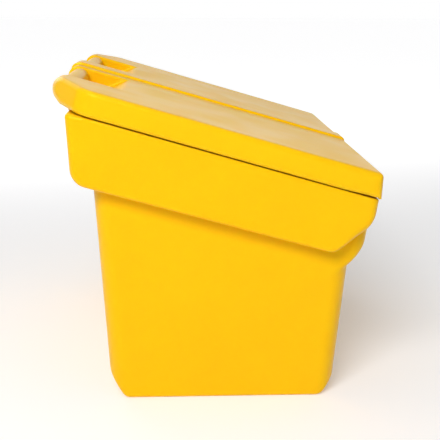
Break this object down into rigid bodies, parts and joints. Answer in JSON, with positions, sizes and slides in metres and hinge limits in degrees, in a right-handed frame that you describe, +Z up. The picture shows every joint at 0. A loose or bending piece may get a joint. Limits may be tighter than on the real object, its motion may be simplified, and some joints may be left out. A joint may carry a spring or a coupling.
{
  "type": "storage bin",
  "caption": "Free-standing moulded plastic storage bin with tapered tub, deep rim band and sloping hinged lid.",
  "frame": {"origin": "on the floor, under the middle of the bin's outer box", "axes": "+Z up; X along the length of the bin and along the lid's hinge; the low front edge of the lid faces -Y, the hinge is at +Y"},
  "size_m": [1.067, 0.741, 0.7659],
  "materials": {
    "tub_plastic": "satin moulded polyethylene, saturated yellow",
    "lid_plastic": "satin moulded polyethylene, saturated yellow",
    "pin_steel": "turned stainless steel",
    "spacer_nylon": "natural nylon",
    "retainer_steel": "pressed spring steel, zinc plated"
  },
  "bodies": {
    "bin": {"tub": "tub_plastic", "hinge_pin_left_outer": "pin_steel", "hinge_pin_left_inner": "pin_steel", "hinge_pin_right_inner": "pin_steel", "hinge_pin_right_outer": "pin_steel", "hinge_spacer_left_outer": "spacer_nylon", "hinge_spacer_left_inner": "spacer_nylon", "hinge_spacer_right_inner": "spacer_nylon", "hinge_spacer_right_outer": "spacer_nylon", "pin_retainer_left_outer": "retainer_steel", "pin_retainer_left_inner": "retainer_steel", "pin_retainer_right_inner": "retainer_steel", "pin_retainer_right_outer": "retainer_steel"},
    "lid": {"lid": "lid_plastic"}
  },
  "joints": [
    {"name": "lid_hinge", "type": "hinge", "parent": "bin", "child": "lid", "pos_m": [0, 0.3435, 0.733], "axis": [-1, 0, 0], "range_deg": [0, 105]}
  ]
}
